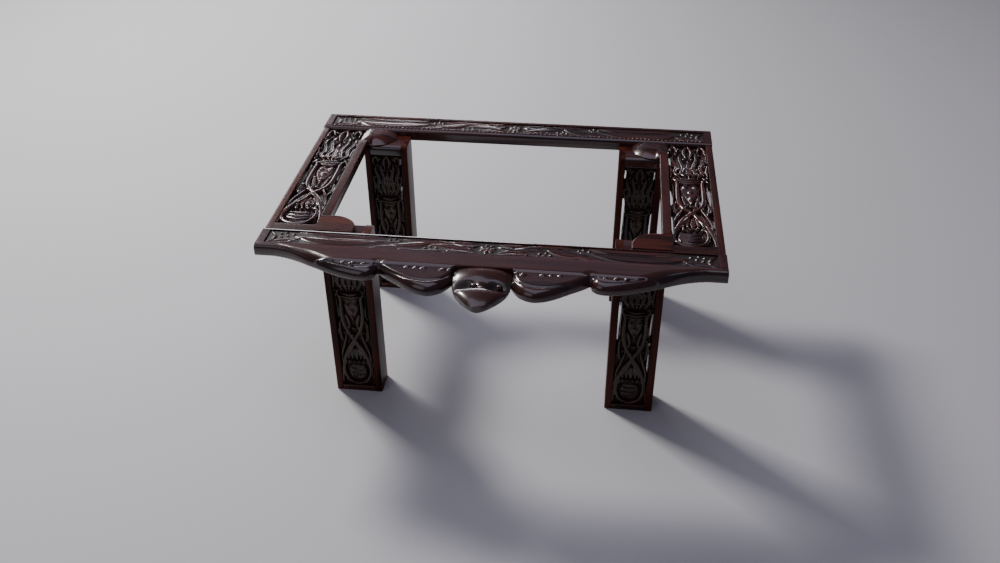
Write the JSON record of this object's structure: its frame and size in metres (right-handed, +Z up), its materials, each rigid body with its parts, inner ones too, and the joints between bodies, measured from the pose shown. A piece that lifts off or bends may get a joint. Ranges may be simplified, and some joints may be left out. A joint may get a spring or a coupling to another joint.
{
  "type": "quran stand",
  "caption": "Low carved wooden stand for a Quran: an open rectangular frame on pierced carved legs, with a scalloped lip along the front.",
  "frame": {"origin": "on the floor, at the centre of the plan (frame and lip together)", "axes": "+Z up, -Y towards the reader, where the scalloped lip is, +X to the reader's right"},
  "size_m": [0.6, 0.485, 0.274],
  "materials": {
    "frame_wood": "dark mahogany, polished",
    "lip_wood": "dark mahogany, polished",
    "leg_wood": "dark mahogany, polished",
    "carved_wood": "dark mahogany, carved and polished",
    "dowel_wood": "plain beech"
  },
  "bodies": {
    "root": {"back_carved_strip": "carved_wood", "back_left_dowels": "dowel_wood", "back_left_ear": "frame_wood", "back_left_leg_cap": "leg_wood", "back_left_leg_foot": "leg_wood", "back_left_leg_inner_panel": "carved_wood", "back_left_leg_inner_stile": "leg_wood", "back_left_leg_outer_panel": "carved_wood", "back_left_leg_outer_stile": "leg_wood", "back_rail": "frame_wood", "back_right_dowels": "dowel_wood", "back_right_ear": "frame_wood", "back_right_leg_cap": "leg_wood", "back_right_leg_foot": "leg_wood", "back_right_leg_inner_panel": "carved_wood", "back_right_leg_inner_stile": "leg_wood", "back_right_leg_outer_panel": "carved_wood", "back_right_leg_outer_stile": "leg_wood", "centre_pendant": "lip_wood", "front_carved_strip": "carved_wood", "front_left_dowels": "dowel_wood", "front_left_ear": "frame_wood", "front_left_leg_cap": "leg_wood", "front_left_leg_foot": "leg_wood", "front_left_leg_inner_panel": "carved_wood", "front_left_leg_inner_stile": "leg_wood", "front_left_leg_outer_panel": "carved_wood", "front_left_leg_outer_stile": "leg_wood", "front_rail": "frame_wood", "front_right_dowels": "dowel_wood", "front_right_ear": "frame_wood", "front_right_leg_cap": "leg_wood", "front_right_leg_foot": "leg_wood", "front_right_leg_inner_panel": "carved_wood", "front_right_leg_inner_stile": "leg_wood", "front_right_leg_outer_panel": "carved_wood", "front_right_leg_outer_stile": "leg_wood", "left_carved_panel": "carved_wood", "left_cross_strip": "frame_wood", "left_inner_bar": "frame_wood", "left_outer_stile": "frame_wood", "left_side_dowels": "dowel_wood", "lip_dowels": "dowel_wood", "right_carved_panel": "carved_wood", "right_cross_strip": "frame_wood", "right_inner_bar": "frame_wood", "right_outer_stile": "frame_wood", "right_side_dowels": "dowel_wood", "scalloped_lip": "lip_wood"}
  },
  "joints": []
}
